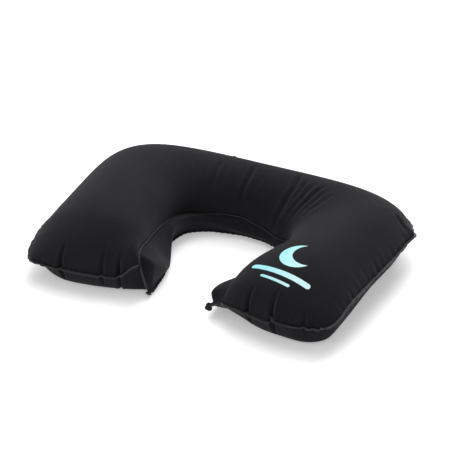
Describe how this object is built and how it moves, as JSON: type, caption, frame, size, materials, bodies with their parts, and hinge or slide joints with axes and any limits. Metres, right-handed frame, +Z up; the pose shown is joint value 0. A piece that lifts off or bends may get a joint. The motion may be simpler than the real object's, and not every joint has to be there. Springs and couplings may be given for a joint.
{
  "type": "inflatable neck pillow",
  "caption": "Horseshoe-shaped inflatable neck pillow of flocked film with welded seams and an oral valve: push-in stem, tethered stopper and non-return flap.",
  "frame": {"origin": "centre of the bounding box's underside, on the surface the pillow lies on", "axes": "+X towards the pillow's right arm as seen from its open side, +Y from the open mouth towards the back of the neck, +Z up"},
  "size_m": [0.4266, 0.2982, 0.0771],
  "materials": {
    "flocked_film": "black short-pile flock on soft PVC film, matt with a faint sheen at the edges",
    "weld_flange": "flock pressed flat by the welding bar, satin",
    "valve_flange": "soft dark grey PVC moulding, satin",
    "valve_stem": "soft dark grey PVC moulding, satin",
    "valve_stopper": "soft dark grey PVC moulding, satin",
    "valve_flap": "thin flexible PVC, matt"
  },
  "bodies": {
    "pillow": {"top_sheet": "flocked_film", "bottom_sheet": "flocked_film", "neck_gusset": "flocked_film", "outer_weld": "weld_flange", "upper_neck_weld": "weld_flange", "lower_neck_weld": "weld_flange", "gusset_end_weld_right": "weld_flange", "gusset_end_weld_left": "weld_flange", "ear_tab_right": "weld_flange", "ear_tab_left": "weld_flange", "valve_base": "valve_flange"},
    "stem": {"valve_stem": "valve_stem"},
    "stopper": {"valve_plug": "valve_stopper", "plug_tether": "valve_stopper"},
    "flap": {"check_flap": "valve_flap"}
  },
  "joints": [
    {"name": "stem_pull_out", "type": "slide", "parent": "pillow", "child": "stem", "axis": [-0.0031, 0.8974, 0.4412], "range_m": [0, 0.009]},
    {"name": "stopper_swing_open", "type": "hinge", "parent": "stem", "child": "stopper", "pos_m": [-0.05084, 0.1399, 0.05894], "axis": [1, 0.0034, 0], "range_deg": [0, 110]},
    {"name": "check_flap_open", "type": "hinge", "parent": "stem", "child": "flap", "pos_m": [-0.05079, 0.12695, 0.04822], "axis": [-1, -0.0034, 0], "range_deg": [0, 50]}
  ]
}
